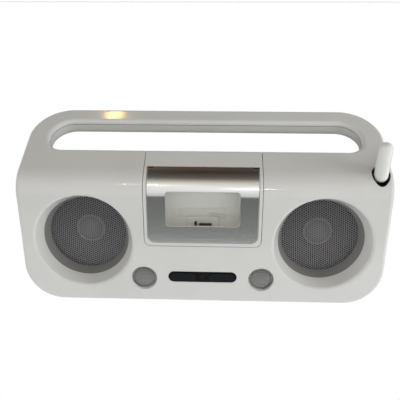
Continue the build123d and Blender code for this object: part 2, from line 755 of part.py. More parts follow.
with BuildPart() as r_button:
    extrude(slot_sketch(front_plane(6.5), BTN_X, PILL_Z, BTN_L, BTN_H), amount=7.3)
    fillet(r_button.faces().sort_by(Axis.Y)[0].edges(), 0.6)
    extrude(slot_sketch(front_plane(7.6), BTN_X, PILL_Z, BTN_L + 2.6, BTN_H + 2.6), amount=1.1)
    extrude(disc_sketch(front_plane(9.0), [(BTN_X, PILL_Z)], 1.8), amount=2.0)
pair(r_button, "left_button", "right_button")

with BuildPart() as button_board:
    extrude(rect_sketch(front_plane(14.6), -39, 39, PILL_Z - 8.5, PILL_Z + 8.5, 1.0), amount=1.6)
    for sx in (-1, 1):
        extrude(rect_sketch(front_plane(13.1), sx * BTN_X - 3, sx * BTN_X + 3, PILL_Z - 3, PILL_Z + 3, 0), amount=1.8)
        extrude(disc_sketch(front_plane(11.4), [(sx * BTN_X, PILL_Z)], 1.4), amount=0.7)
    extrude(rect_sketch(front_plane(13.1), -2.4, 2.4, PILL_Z - 2.4, PILL_Z + 2.4, 0), amount=3.0)
save(button_board, "button_board")

# ---------------------------------------------------------------------------
# rear housing: deep shell with the back half of the handle
# ---------------------------------------------------------------------------
D_PART = SHELL + PART_GAP
TOP_FALL = 20.0
A_PT = slope_pt(SLOT_T0, 24.0)
B_PT = (Y_BACK, A_PT[1] - (Y_BACK - A_PT[0]) * math.tan(math.radians(TOP_FALL)))


def body_section(w, x0, r_valley, r_crown, d_front):
    """Side profile of the rear body, inset by w."""
    tf = math.radians(TOP_FALL)
    # sloping top, moved down by w
    ax, az = A_PT[0] - w * math.sin(tf), A_PT[1] - w * math.cos(tf)
    yb = Y_BACK - w
    t0 = SLOT_T0 - w
    p0 = slope_pt(t0, 0)
    # crossing of the line t = t0 with the sloping top
    # p0 + d (CB, -SB) = (ax, az) + k (cos tf, -sin tf)
    c, s_ = math.cos(tf), math.sin(tf)
    det = CB * s_ - SB * c
    dx, dz = ax - p0[0], az - p0[1]
    d = (dx * s_ + dz * c) / det
    a = (p0[0] + d * CB, p0[1] - d * SB)
    b = (yb, az - (yb - ax) * math.tan(tf))
    with BuildSketch(Plane.YZ.offset(x0)) as s:
        with BuildLine():
            Line((Y_FRONT + d_front, Z_BASE + w), (Y_FRONT + d_front, Z_ARC))
            ThreePointArc((Y_FRONT + d_front, Z_ARC), arc_pt(LEAN / 2, d_front), arc_pt(LEAN, d_front))
            Line(arc_pt(LEAN, d_front), slope_pt(t0, d_front))
            Line(slope_pt(t0, d_front), a)
            Line(a, b)
            Line(b, (yb, Z_BASE + w))
            Line((yb, Z_BASE + w), (Y_FRONT + d_front, Z_BASE + w))
        make_face()
        va = s.vertices().sort_by_distance(Vector(a[0], a[1], 0))[0]
        fillet(va, r_valley)
        vb = s.vertices().sort_by_distance(Vector(b[0], b[1], 0))[0]
        fillet(vb, r_crown)
    return s.sketch


with BuildPart() as handle_back:
    with BuildSketch(Plane.YZ.offset(-HALF_W)) as hs:
        with BuildLine():
            Polyline(
                slope_pt(14, D_PART),
                slope_pt(T_TOP, D_PART),
                slope_pt(T_TOP, HANDLE_T),
                slope_pt(14, HANDLE_T),
                close=True,
            )
        make_face()
    extrude(hs.sketch, amount=WIDTH)
    tops = handle_back.edges().filter_by(n_axis).sort_by(Axis.Z)[-2:]
    fillet(tops, R_HANDLE)
    extrude(slot_outline(), amount=40, both=True, mode=Mode.SUBTRACT)
    back_rim = handle_back.edges().filter_by(
        lambda e: all(abs(depth_of(e @ u) - HANDLE_T) < 0.02 for u in (0.05, 0.5, 0.95))
        and not (abs(e.center().X) < 1 and e.center().Z < slope_pt(20, HANDLE_T)[1])
    )
    fillet(back_rim, HANDLE_BACK_R)

# inner space of the rear housing
with BuildPart() as cavity:
    extrude(body_section(WALL, -HALF_W + WALL, 10.0, 34.0, D_PART - 1.0), amount=WIDTH - 2 * WALL)
    fillet(
        cavity.edges().filter_by(Axis.Y).filter_by(
            lambda e: abs(e.center().X) > HALF_W - WALL - 1 and e.center().Z < Z_BASE + WALL + 1
        ),
        R_LOW - WALL,
    )

with BuildPart() as rear_housing:
    extrude(body_section(0.0, -HALF_W, 14.0, 38.0, D_PART), amount=WIDTH)
    fillet(
        rear_housing.edges().filter_by(Axis.Y).filter_by(lambda e: abs(e.center().X) > HALF_W - 1 and e.center().Z < Z_BASE + 1),
        R_LOW,
    )
    # rounded all round the back
    back_edges = rear_housing.edges().filter_by(
        lambda e: (e @ 0.5).Y > A_PT[0] + 8
        and (
            abs(abs((e @ 0.5).X) - HALF_W) < 0.02
            or (abs((e @ 0.5).Y - Y_BACK) < 0.02 and (e @ 0.5).Z < 60)
        )
    )
    fillet(back_edges, BACK_R)
    add(handle_back.part)
    add(cavity.part, mode=Mode.SUBTRACT)
    # channel in the back half of the handle
    with BuildSketch(SLOPE.offset(-D_PART + 1)) as ch:
        with Locations((0, (SLOT_T1 + T_TOP) / 2)):
            Rectangle(2 * SLOT_X - 40, T_TOP - SLOT_T1 - 8)
    extrude(ch.sketch, amount=-(HANDLE_T - D_PART - 3.5), mode=Mode.SUBTRACT)
    # screw wells
    extrude(disc_sketch(front_plane(13.0), WELLS, 6.0), amount=-(DEPTH - 13.0 - 2.0))
    extrude(disc_sketch(front_plane(DEPTH + 1), WELLS, 4.0), amount=DEPTH - 29.0, mode=Mode.SUBTRACT)
    extrude(disc_sketch(front_plane(40), WELLS, 1.8), amount=30, mode=Mode.SUBTRACT)
    # battery opening with rebate
    extrude(rect_sketch(front_plane(DEPTH + 1), -95.4, 95.4, 15.6, 84.4, 6.0), amount=3.8, mode=Mode.SUBTRACT)
    extrude(rect_sketch(front_plane(DEPTH + 1), -91.0, 91.0, 19.5, 80.5, 4.0), amount=8.0, mode=Mode.SUBTRACT)
    # jack panel opening
    extrude(rect_sketch(front_plane(DEPTH + 1), -168.4, -109.6, 29.6, 60.4, 3.0), amount=8.0, mode=Mode.SUBTRACT)
    # antenna socket clearance
    with BuildSketch(Plane.XY.offset(118)) as well2:
        with Locations((ANT_X, Y_FRONT + ANT_D)):
            Circle(ANT_HOLE_R + 0.3)
    extrude(well2.sketch, amount=60, mode=Mode.SUBTRACT)
save(rear_housing, "rear_housing")

with BuildPart() as housing_screws:
    extrude(disc_sketch(front_plane(33.5), WELLS, 3.2), amount=3.2)
    extrude(disc_sketch(front_plane(30.5), WELLS, 1.35), amount=24.0)
save(housing_screws, "housing_screws")

# ---------------------------------------------------------------------------
# battery compartment
# ---------------------------------------------------------------------------
with BuildPart() as battery_tray:
    extrude(rect_sketch(front_plane(DEPTH - WALL - 0.1), -94.0, 94.0, 17.5, 82.5, 4.0), amount=31.0)
    extrude(rect_sketch(front_plane(DEPTH), -90.0, 90.0, 20.5, 79.5, 3.0), amount=32.5, mode=Mode.SUBTRACT)
    extrude(rect_sketch(front_plane(DEPTH - WALL - 3.0), -90.5, 90.5, 49.3, 50.7, 0), amount=28.0)
save(battery_tray, "battery_tray")

with BuildPart() as battery_contacts:
    for z in (35.0, 65.0):
        for sx in (-1, 1):
            x0 = 89.2 * sx
            with BuildSketch(Plane.YZ.offset(min(x0, x0 + 0.6 * sx))) as plate:
                with Locations((Y_FRONT + 97.0, z)):
                    RectangleRounded(16, 18, 2)
            extrude(plate.sketch, amount=0.6)
        # coil spring drawn as a tapered stack of turns, on the left plate
        for k in range(4):
            with BuildSketch(Plane.YZ.offset(-89.2 + 2.0 * k - 0.05 * k)) as turn:
                with Locations((Y_FRONT + 97.0, z)):
                    Circle(7.0 - k * 0.9)
                    Circle(5.6 - k * 0.9, mode=Mode.SUBTRACT)
            extrude(turn.sketch, amount=2.0)
save(battery_contacts, "battery_contacts")

with BuildPart() as battery_door:
    extrude(rect_sketch(front_plane(DEPTH - 0.2), -95.0, 95.0, 16.0, 84.0, 5.6), amount=2.3)
    # stiffening ribs on the inside
    for x in (-60, -20, 20, 60):
        extrude(rect_sketch(front_plane(DEPTH - 2.4), x - 1, x + 1, 24.0, 76.0, 0), amount=1.8)
    # bottom hooks and top latch
    for x in (-50, 50):
        extrude(rect_sketch(front_plane(DEPTH - 2.4), x - 8, x + 8, 21.0, 22.6, 0), amount=4.0)
    extrude(rect_sketch(front_plane(DEPTH - 2.4), -12, 12, 76.6, 78.6, 0), amount=4.0)
    # finger scoop
    extrude(slot_sketch(front_plane(DEPTH + 1), 0, 77.0, 26, 6.5), amount=2.2, mode=Mode.SUBTRACT)
    # grip grooves
    for x in (-30, -24, 24, 30):
        extrude(rect_sketch(front_plane(DEPTH + 1), x - 0.8, x + 0.8, 70, 80, 0.6), amount=1.8, mode=Mode.SUBTRACT)
save(battery_door, "battery_door")

# ---------------------------------------------------------------------------
# jack panel on the back
# ---------------------------------------------------------------------------
DC_SPOT, AUX_SPOT, COAX_SPOT = (-120.0, 45.0), (-133.0, 45.0), (-158.0, 45.0)
SW_X, SW_Z = -145.5, 45.0
with BuildPart() as rear_panel:
    extrude(rect_sketch(front_plane(DEPTH - 1.0), -168.0, -110.0, 30.0, 60.0, 2.6), amount=5.0)
    extrude(rect_sketch(front_plane(DEPTH - WALL - 0.1), -171.5, -106.5, 26.5, 63.5, 3.0), amount=1.9)
    for (x, z), r in ((DC_SPOT, 4.6), (AUX_SPOT, 3.6), (COAX_SPOT, 4.1)):
        extrude(disc_sketch(front_plane(DEPTH + 1), [(x, z)], r), amount=12, mode=Mode.SUBTRACT)
    extrude(rect_sketch(front_plane(DEPTH + 1), SW_X - 5.5, SW_X + 5.5, SW_Z - 2.5, SW_Z + 2.5, 0.5), amount=12, mode=Mode.SUBTRACT)
save(rear_panel, "rear_panel")

with BuildPart() as dc_jack:
    extrude(disc_sketch(front_plane(DEPTH - 1.2), [DC_SPOT], 4.5), amount=6.0)
    extrude(rect_sketch(front_plane(DEPTH - 6.2), DC_SPOT[0] - 5.5, DC_SPOT[0] + 5.5, 39.5, 50.5, 0), amount=10.0)
    extrude(disc_sketch(front_plane(DEPTH), [DC_SPOT], 2.9), amount=13.0, mode=Mode.SUBTRACT)
    extrude(disc_sketch(front_plane(DEPTH - 2.2), [DC_SPOT], 1.05), amount=12.0)
save(dc_jack, "dc_jack")

with BuildPart() as audio_jack:
    extrude(disc_sketch(front_plane(DEPTH - 0.8), [AUX_SPOT], 3.5), amount=6.0)
    extrude(rect_sketch(front_plane(DEPTH - 6.2), AUX_SPOT[0] - 4.5, AUX_SPOT[0] + 4.5, 40.0, 50.0, 0), amount=12.0)
    extrude(disc_sketch(front_plane(DEPTH), [AUX_SPOT], 1.8), amount=15.0, mode=Mode.SUBTRACT)
save(audio_jack, "audio_jack")

with BuildPart() as antenna_jack:
    extrude(disc_sketch(front_plane(DEPTH - 0.6), [COAX_SPOT], 4.0), amount=6.0)
    extrude(rect_sketch(front_plane(DEPTH - 6.2), COAX_SPOT[0] - 5.0, COAX_SPOT[0] + 5.0, 40.0, 50.0, 0), amount=8.0)
    extrude(disc_sketch(front_plane(DEPTH), [COAX_SPOT], 2.9), amount=9.0, mode=Mode.SUBTRACT)
    extrude(disc_sketch(front_plane(DEPTH - 2.0), [COAX_SPOT], 0.6), amount=8.0)
save(antenna_jack, "antenna_jack")

SW_TRAVEL = 4.0
with BuildPart() as power_switch:
    x0 = SW_X - SW_TRAVEL / 2
    extrude(rect_sketch(front_plane(DEPTH - 0.4), x0 - 2.6, x0 + 2.6, SW_Z - 2.1, SW_Z + 2.1, 0.4), amount=6.4)
    extrude(rect_sketch(front_plane(DEPTH - 6.6), x0 - 4.0, x0 + 4.0, SW_Z - 3.6, SW_Z + 3.6, 0), amount=1.4)
save(power_switch, "power_switch")

with BuildPart() as switch_body:
    extrude(rect_sketch(front_plane(DEPTH - 8.6), SW_X - 7.2, SW_X + 7.2, SW_Z - 5, SW_Z + 5, 0), amount=5.0)
save(switch_body, "switch_body")

# ---------------------------------------------------------------------------
# electronics
# ---------------------------------------------------------------------------
with BuildPart() as main_board:
    extrude(rect_sketch(front_plane(66.6), -58, 58, 14, 76, 2), amount=1.6)
    for cx, cz, w, h, t in (
        (-30, 50, 18, 18, 2.4),
        (12, 55, 14, 14, 2.0),
        (40, 30, 22, 10, 9.0),
        (-36, 25, 10, 7, 3.5),
        (5, 26, 12, 6, 3.0),
        (40, 62, 16, 8, 4.0),
    ):
        extrude(rect_sketch(front_plane(65.0), cx - w / 2, cx + w / 2, cz - h / 2, cz + h / 2, 0), amount=t)
    for cx, cz in ((-48, 62), (-48, 46), (-12, 30), (24, 40)):
        extrude(disc_sketch(front_plane(65.0), [(cx, cz)], 4.0), amount=11.0)
save(main_board, "main_board")

# ---------------------------------------------------------------------------
# antenna: socket, swivel, pin and stub
# ---------------------------------------------------------------------------
ANT_Y = Y_FRONT + ANT_D


def ant_disc(z, r):
    with BuildSketch(Plane.XY.offset(z)) as s:
        with Locations((ANT_X, ANT_Y)):
            Circle(r)
    return s.sketch


# space outside the shoulder, used to trim the socket
with BuildPart() as outside:
    with BuildSketch(Plane.YZ.offset(ANT_X - 15)) as o:
        with BuildLine():
            Line((Y_FRONT - 5, 100), (Y_FRONT + 0.2, 100))
            Line((Y_FRONT + 0.2, 100), (Y_FRONT + 0.2, Z_ARC))
            ThreePointArc((Y_FRONT + 0.2, Z_ARC), arc_pt(LEAN / 2, 0.2), arc_pt(LEAN, 0.2))
            Line(arc_pt(LEAN, 0.2), slope_pt(30, 0.2))
            Line(slope_pt(30, 0.2), slope_pt(30, -25))
            Line(slope_pt(30, -25), (Y_FRONT - 5, slope_pt(30, -25)[1]))
            Line((Y_FRONT - 5, slope_pt(30, -25)[1]), (Y_FRONT - 5, 100))
        make_face()
    extrude(o.sketch, amount=30)

with BuildPart() as antenna_socket:
    extrude(ant_disc(127.0, ANT_HOLE_R - 0.1), amount=40)
    add(outside.part, mode=Mode.SUBTRACT)
    extrude(ant_disc(129.5, ANT_HOLE_R - 0.7), amount=40, mode=Mode.SUBTRACT)
    extrude(ant_disc(120.0, 2.55), amount=20, mode=Mode.SUBTRACT)
save(antenna_socket, "antenna_socket")

with BuildPart() as antenna_swivel:
    extrude(ant_disc(130.0, ANT_HOLE_R - 1.4), amount=6.0)
    extrude(ant_disc(122.0, 2.5), amount=9.0)
    extrude(ant_disc(121.0, 4.0), amount=1.2)
    # two thin ears that carry the pin, inside the round of the socket
    with BuildSketch(Plane.XY.offset(135.0)) as ears:
        with Locations((ANT_X, ANT_Y)):
            Circle(ANT_HOLE_R - 1.0)
            Rectangle(2 * (ANT_R + 0.3), 30, mode=Mode.SUBTRACT)
            Rectangle(30, 6.4, mode=Mode.INTERSECT)
    extrude(ears.sketch, amount=ANT_PIVOT_Z + 2.0 - 135.0)
    with BuildSketch(Plane.YZ.offset(ANT_X - 12)) as ph:
        with Locations((ANT_Y, ANT_PIVOT_Z)):
            Circle(1.02)
    extrude(ph.sketch, amount=24, mode=Mode.SUBTRACT)
save(antenna_swivel, "antenna_swivel")

LEAN_AXIS = (-math.sin(math.radians(ANT_LEAN)), 0, math.cos(math.radians(ANT_LEAN)))
with BuildPart() as antenna_stub:
    L = ANT_TOP_Z - ANT_PIVOT_Z
    with BuildSketch(Plane((ANT_X, ANT_Y, ANT_PIVOT_Z), x_dir=(math.cos(math.radians(ANT_LEAN)), 0, math.sin(math.radians(ANT_LEAN))), z_dir=(0, -1, 0))) as half:
        with BuildLine():
            Line((0, -ANT_TAIL), (0, L))
            ThreePointArc(
                (0, L), (ANT_R * math.sin(math.radians(45)), L - ANT_R * (1 - math.cos(math.radians(45)))), (ANT_R, L - ANT_R)
            )
            Line((ANT_R, L - ANT_R), (ANT_R, ANT_R - ANT_TAIL))
            ThreePointArc(
                (ANT_R, ANT_R - ANT_TAIL),
                (ANT_R * math.sin(math.radians(45)), ANT_R * (1 - math.cos(math.radians(45))) - ANT_TAIL),
                (0, -ANT_TAIL),
            )
        make_face()
    revolve(half.sketch, axis=Axis((ANT_X, ANT_Y, ANT_PIVOT_Z), LEAN_AXIS))
    with BuildSketch(Plane.YZ.offset(ANT_X - 10)) as ph:
        with Locations((ANT_Y, ANT_PIVOT_Z)):
            Circle(1.05)
    extrude(ph.sketch, amount=20, mode=Mode.SUBTRACT)
save(antenna_stub, "antenna_stub")

with BuildPart() as antenna_pin:
    with BuildSketch(Plane.YZ.offset(ANT_X - 8.3)) as pin:
        with Locations((ANT_Y, ANT_PIVOT_Z)):
            Circle(1.0)
    extrude(pin.sketch, amount=16.6)
save(antenna_pin, "antenna_pin")

# ---------------------------------------------------------------------------
# feet
# ---------------------------------------------------------------------------
with BuildPart() as rubber_feet:
    with BuildSketch(Plane.XY.offset(0)) as f:
        with Locations(*[(sx * 138, y) for sx in (-1, 1) for y in (Y_FRONT + 20, Y_BACK - 20)]):
            SlotOverall(30, 14)
    extrude(f.sketch, amount=FOOT_H)
    fillet(rubber_feet.faces().group_by(Axis.Z)[0].edges(), 0.8)
save(rubber_feet, "rubber_feet")
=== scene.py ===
import bpy
import math
from mathutils import Matrix, Vector
from mathutils.bvhtree import BVHTree


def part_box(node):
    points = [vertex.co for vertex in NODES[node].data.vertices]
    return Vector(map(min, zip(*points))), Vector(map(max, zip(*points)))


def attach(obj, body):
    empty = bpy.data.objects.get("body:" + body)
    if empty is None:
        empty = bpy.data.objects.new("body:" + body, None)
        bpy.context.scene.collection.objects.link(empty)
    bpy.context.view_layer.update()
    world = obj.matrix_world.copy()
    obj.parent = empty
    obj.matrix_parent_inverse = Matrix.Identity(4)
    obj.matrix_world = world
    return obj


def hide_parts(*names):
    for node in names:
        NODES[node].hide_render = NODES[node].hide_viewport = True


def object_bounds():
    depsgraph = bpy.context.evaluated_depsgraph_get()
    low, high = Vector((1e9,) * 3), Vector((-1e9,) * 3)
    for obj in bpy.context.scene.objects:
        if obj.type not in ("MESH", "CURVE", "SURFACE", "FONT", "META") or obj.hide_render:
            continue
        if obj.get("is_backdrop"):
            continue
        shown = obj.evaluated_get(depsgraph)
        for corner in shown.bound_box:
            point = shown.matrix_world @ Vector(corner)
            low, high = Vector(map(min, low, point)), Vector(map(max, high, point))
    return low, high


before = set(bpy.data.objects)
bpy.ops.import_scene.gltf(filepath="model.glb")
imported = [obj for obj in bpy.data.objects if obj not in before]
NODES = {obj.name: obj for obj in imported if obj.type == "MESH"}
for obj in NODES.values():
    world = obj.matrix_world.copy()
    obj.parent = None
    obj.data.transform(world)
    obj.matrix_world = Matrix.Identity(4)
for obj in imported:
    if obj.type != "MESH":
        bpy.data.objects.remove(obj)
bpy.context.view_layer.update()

# ---------------------------------------------------------------------------
# camera at the photograph's viewing angle
# ---------------------------------------------------------------------------
cam_data = bpy.data.cameras.new("camera")
cam = bpy.data.objects.new("camera", cam_data)
bpy.context.scene.collection.objects.link(cam)
R0 = Vector((0.9993678829, 0.0355420415, 0.0007732189))
R1 = Vector((0.0135987041, -0.3620904628, -0.9320437608))
R2 = Vector((-0.0328467628, 0.9314651148, -0.3623449049))
turn = Matrix((R0, -R1, -R2)).transposed()
cam.matrix_world = Matrix.Translation((0.01528, -0.56941, 0.32418)) @ turn.to_4x4()
cam_data.sensor_width = 36.0
cam_data.lens = 47.498
cam_data.clip_start = 0.01
cam_data.clip_end = 60.0
cam_data.dof.use_dof = False
bpy.context.scene.camera = cam
bpy.context.scene.view_settings.view_transform = "Standard"
bpy.context.scene.view_settings.look = "None"


# ---------------------------------------------------------------------------
# node helpers
# ---------------------------------------------------------------------------
class Mat:
    """One procedural material: a Principled shader and small helpers around it."""

    def __init__(self, name, **constants):
        self.m = bpy.data.materials.new(name)
        self.m.use_nodes = True
        self.t = self.m.node_tree
        self.t.nodes.clear()
        self.out = self.node("ShaderNodeOutputMaterial")
        self.p = self.node("ShaderNodeBsdfPrincipled")
        self.t.links.new(self.p.outputs[0], self.out.inputs[0])
        for key, value in constants.items():
            self.p.inputs[key.replace("_", " ")].default_value = value
        self.coord = self.node("ShaderNodeTexCoord").outputs["Object"]

    def node(self, kind, **props):
        n = self.t.nodes.new(kind)
        for k, v in props.items():
            setattr(n, k, v)
        return n

    def link(self, a, b):
        self.t.links.new(a, b)

    def scaled(self, sx, sy, sz, rot=(0, 0, 0)):
        n = self.node("ShaderNodeMapping")
        n.inputs["Scale"].default_value = (sx, sy, sz)
        n.inputs["Rotation"].default_value = rot
        self.link(self.coord, n.inputs["Vector"])
        return n.outputs[0]

    def noise(self, scale, detail=3.0, rough=0.5, vec=None, distortion=0.0):
        n = self.node("ShaderNodeTexNoise")
        n.inputs["Scale"].default_value = scale
        n.inputs["Detail"].default_value = detail
        n.inputs["Roughness"].default_value = rough
        n.inputs["Distortion"].default_value = distortion
        self.link(vec or self.coord, n.inputs["Vector"])
        return n.outputs["Fac"]

    def voronoi(self, scale, feature="F1", vec=None):
        n = self.node("ShaderNodeTexVoronoi", feature=feature)
        n.inputs["Scale"].default_value = scale
        self.link(vec or self.coord, n.inputs["Vector"])
        return n.outputs["Distance"]

    def wave(self, scale, direction="Z", vec=None, distortion=0.0, kind="BANDS"):
        n = self.node("ShaderNodeTexWave", wave_type=kind)
        if kind == "BANDS":
            n.bands_direction = direction
        else:
            n.rings_direction = direction
        n.inputs["Scale"].default_value = scale
        n.inputs["Distortion"].default_value = distortion
        self.link(vec or self.coord, n.inputs["Vector"])
        return n.outputs["Fac"]

    def ramp(self, fac, stops, interpolation="LINEAR"):
        n = self.node("ShaderNodeValToRGB")
        n.color_ramp.interpolation = interpolation
        e = n.color_ramp.elements
        while len(e) < len(stops):
            e.new(0.5)
        for el, (pos, col) in zip(e, stops):
            el.position = pos
            el.color = tuple(col) + (1.0,) if len(col) == 3 else tuple(col)
        self.link(fac, n.inputs["Fac"])
        return n.outputs["Color"]

    def range(self, fac, a, b, c, d, clamp=True):
        n = self.node("ShaderNodeMapRange", clamp=clamp)
        for name, v in zip(("From Min", "From Max", "To Min", "To Max"), (a, b, c, d)):
            n.inputs[name].default_value = v
        self.link(fac, n.inputs["Value"])
        return n.outputs["Result"]

    def math(self, op, a, b=None, clamp=False):
        n = self.node("ShaderNodeMath", operation=op, use_clamp=clamp)
        for i, v in enumerate((a, b)):
            if v is None:
                continue
            if isinstance(v, (int, float)):
                n.inputs[i].default_value = v
            else:
                self.link(v, n.inputs[i])
        return n.outputs[0]

    def mix(self, fac, a, b, blend="MIX"):
        n = self.node("ShaderNodeMix", data_type="RGBA", blend_type=blend)
        if isinstance(fac, (int, float)):
            n.inputs["Factor"].default_value = fac
        else:
            self.link(fac, n.inputs["Factor"])
        for i, v in ((6, a), (7, b)):
            if isinstance(v, tuple):
                n.inputs[i].default_value = v + (1.0,) if len(v) == 3 else v
            else:
                self.link(v, n.inputs[i])
        return n.outputs[2]

    def bump(self, height, strength, distance, normal=None):
        n = self.node("ShaderNodeBump")
        n.inputs["Strength"].default_value = strength
        n.inputs["Distance"].default_value = distance
        self.link(height, n.inputs["Height"])
        if normal is not None:
            self.link(normal, n.inputs["Normal"])
        return n.outputs["Normal"]

    def set(self, socket, value):
        self.link(value, self.p.inputs[socket])


def moulded(name, base, rough, spec=0.5, coat=0.0, grain=0.0, peel=0.02, warm=0.012, scuff=0.05):
    """Moulded plastic: faint flow mottling, painted shade in tight corners, handling smudges in the gloss, fine surface
    texture.
    """
    m = Mat(name, Specular_IOR_Level=spec, Coat_Weight=coat, Coat_Roughness=0.08)
    cloud = m.noise(14.0, 4.0, 0.55)
    dark = tuple(max(0.0, c * (1 - 0.035) - warm * 0.3) for c in base)
    light = tuple(min(1.0, c * 1.012) for c in base)
    tint = (base[0], base[1] * 0.994, base[2] * (1 - warm))
    col = m.ramp(cloud, [(0.30, dark), (0.55, base), (0.75, light)])
    speck = m.noise(900.0, 2.0, 0.7)
    col = m.mix(m.range(speck, 0.62, 0.80, 0.0, 0.25), col, tint)
    # painted shade: the base colour is darkened where ambient occlusion finds tight corners
    ao = m.node("ShaderNodeAmbientOcclusion", samples=6, only_local=True)
    ao.inputs["Distance"].default_value = 0.003
    painted_corner_shade = m.range(ao.outputs["AO"], 0.25, 0.9, 1.0, 0.0)
    col = m.mix(m.math("MULTIPLY", painted_corner_shade, 0.30), col, tuple(c * 0.55 for c in base))
    m.set("Base Color", col)
    smudge = m.noise(38.0, 5.0, 0.6, distortion=0.6)
    fine = m.noise(260.0, 3.0, 0.6)
    r = m.math("ADD", m.range(smudge, 0.35, 0.7, rough - scuff * 0.4, rough + scuff), m.range(fine, 0.3, 0.7, -0.012, 0.012))
    m.set("Roughness", m.math("MAXIMUM", r, 0.04))
    n = m.bump(m.noise(620.0, 2.0, 0.5), peel, 0.0002)
    if grain > 0:
        n = m.bump(m.voronoi(2400.0), grain, 0.00012, n)
    m.set("Normal", n)
    return m.m


# ---------------------------------------------------------------------------
# materials
# ---------------------------------------------------------------------------
M = {}
M["white"] = moulded("glossy_white_moulding", (0.60, 0.606, 0.60), 0.10, spec=0.5, peel=0.008, scuff=0.03)
M["white_bezel"] = moulded("glossy_white_bezel", (0.61, 0.616, 0.61), 0.10, spec=0.5, peel=0.008, scuff=0.03)
M["white_rear"] = moulded("satin_white_rear", (0.60, 0.606, 0.598), 0.30, grain=0.10, peel=0.012, scuff=0.025)
M["antenna_white"] = moulded("antenna_white", (0.70, 0.72, 0.715), 0.18, peel=0.02)
M["cradle"] = moulded("cradle_grey_white", (0.86, 0.868, 0.825), 0.42, grain=0.12, warm=0.03)
M["bay"] = moulded("bay_grey_white", (0.86, 0.865, 0.82), 0.46, grain=0.12, warm=0.03)
M["black"] = moulded("black_fine_texture", (0.018, 0.018, 0.019), 0.42, grain=0.2, warm=0.0, scuff=0.12)
M["black_gloss"] = moulded("polished_black", (0.0025, 0.004, 0.0045), 0.12, spec=0.12, coat=0.0, peel=0.01, warm=0.0, scuff=0.06)
M["key_black"] = moulded("key_black", (0.0035, 0.006, 0.0065), 0.18, spec=0.16, coat=0.0, peel=0.02, warm=0.0, scuff=0.08)
M["ring"] = moulded("ring_dark_grey", (0.20, 0.20, 0.19), 0.40, grain=0.12, warm=0.01, scuff=0.08)
M["frame_grey"] = moulded("driver_frame", (0.06, 0.06, 0.06), 0.5, grain=0.2, warm=0.0)


def brushed():
    m = Mat("brushed_aluminium", Metallic=1.0, Anisotropic=0.35, Anisotropic_Rotation=0.0)
    lines = m.noise(1.0, 4.0, 0.62, vec=m.scaled(16, 900, 1900))
    fine = m.noise(1.0, 2.0, 0.5, vec=m.scaled(60, 5200, 5200))
    long = m.noise(1.0, 3.0, 0.55, vec=m.scaled(5, 240, 420))
    col = m.ramp(lines, [(0.25, (0.64, 0.645, 0.65)), (0.55, (0.695, 0.70, 0.705)), (0.8, (0.75, 0.755, 0.76))])
    col = m.mix(m.range(long, 0.35, 0.7, 0.0, 0.15), col, (0.66, 0.66, 0.67))
    m.set("Base Color", col)
    r = m.math("ADD", m.range(lines, 0.3, 0.75, 0.185, 0.225), m.range(fine, 0.3, 0.7, -0.02, 0.03))
    m.set("Roughness", r)
    n = m.bump(lines, 0.05, 0.00008)
    m.set("Normal", m.bump(fine, 0.05, 0.00003, n))
    t = m.node("ShaderNodeTangent", direction_type="RADIAL", axis="Z")
    m.link(t.outputs[0], m.p.inputs["Tangent"])
    return m.m


M["brushed"] = brushed()


def metal(name, base, rough, wear=0.2, bumpy=0.05, metallic=1.0, flake=0.0, vary=1.0):
    m = Mat(name, Metallic=metallic)
    cloud = m.noise(120.0, 5.0, 0.6)
    col = m.ramp(cloud, [(0.3, tuple(c * (1 - wear) for c in base)), (0.6, base), (0.8, tuple(min(1, c * 1.12) for c in base))])
    if flake:
        sp = m.voronoi(3200.0)
        col = m.mix(m.range(sp, 0.0, 0.35, flake, 0.0), col, tuple(min(1.0, c * 1.8) for c in base))
    m.set("Base Color", col)
    m.set("Roughness", m.range(m.noise(260.0, 4.0, 0.6), 0.3, 0.75, rough - 0.08 * vary, rough + 0.12 * vary))
    m.set("Normal", m.bump(m.noise(1400.0, 3.0, 0.6), bumpy, 0.00008))
    return m.m


M["dark_steel"] = metal("dark_plated_steel", (0.20, 0.20, 0.20), 0.36)
M["steel"] = metal("plated_steel", (0.62, 0.61, 0.59), 0.28)
M["nickel"] = metal("nickel_contact", (0.70, 0.68, 0.62), 0.22)
M["gold"] = metal("gold_contact", (0.83, 0.62, 0.27), 0.25)
M["grille"] = metal("grille_painted_sheet", (0.31, 0.304, 0.322), 0.36, wear=0.03, metallic=0.6, flake=0.12, vary=0.2)
M["grille_fine"] = metal("tweeter_sheet", (0.36, 0.36, 0.36), 0.30, wear=0.04, metallic=0.7, flake=0.2, vary=0.25)
M["basket"] = metal("black_painted_steel", (0.03, 0.03, 0.03), 0.42, wear=0.3, metallic=0.2)
M["magnet"] = metal("ferrite_and_zinc", (0.16, 0.16, 0.17), 0.5, wear=0.3, metallic=0.4)


def cone_mat():
    m = Mat("pressed_pulp_cone", Specular_IOR_Level=0.3)
    fibre = m.noise(1.0, 5.0, 0.65, vec=m.scaled(700, 160, 700))
    col = m.ramp(fibre, [(0.3, (0.012, 0.012, 0.012)), (0.7, (0.030, 0.030, 0.029))])
    m.set("Base Color", col)
    m.set("Roughness", m.range(fibre, 0.3, 0.7, 0.55, 0.8))
    m.set("Normal", m.bump(fibre, 0.25, 0.0002))
    return m.m


M["cone"] = cone_mat()
M["cap"] = moulded("glossy_dust_cap", (0.17, 0.17, 0.168), 0.22, spec=0.5, coat=1.0, peel=0.004, warm=0.0, scuff=0.02)
M["cap_ring"] = moulded("dust_cap_ring", (0.26, 0.26, 0.255), 0.3, peel=0.03, warm=0.0)
M["tweeter"] = moulded("tweeter_frame", (0.10, 0.10, 0.10), 0.45, grain=0.15, warm=0.0)


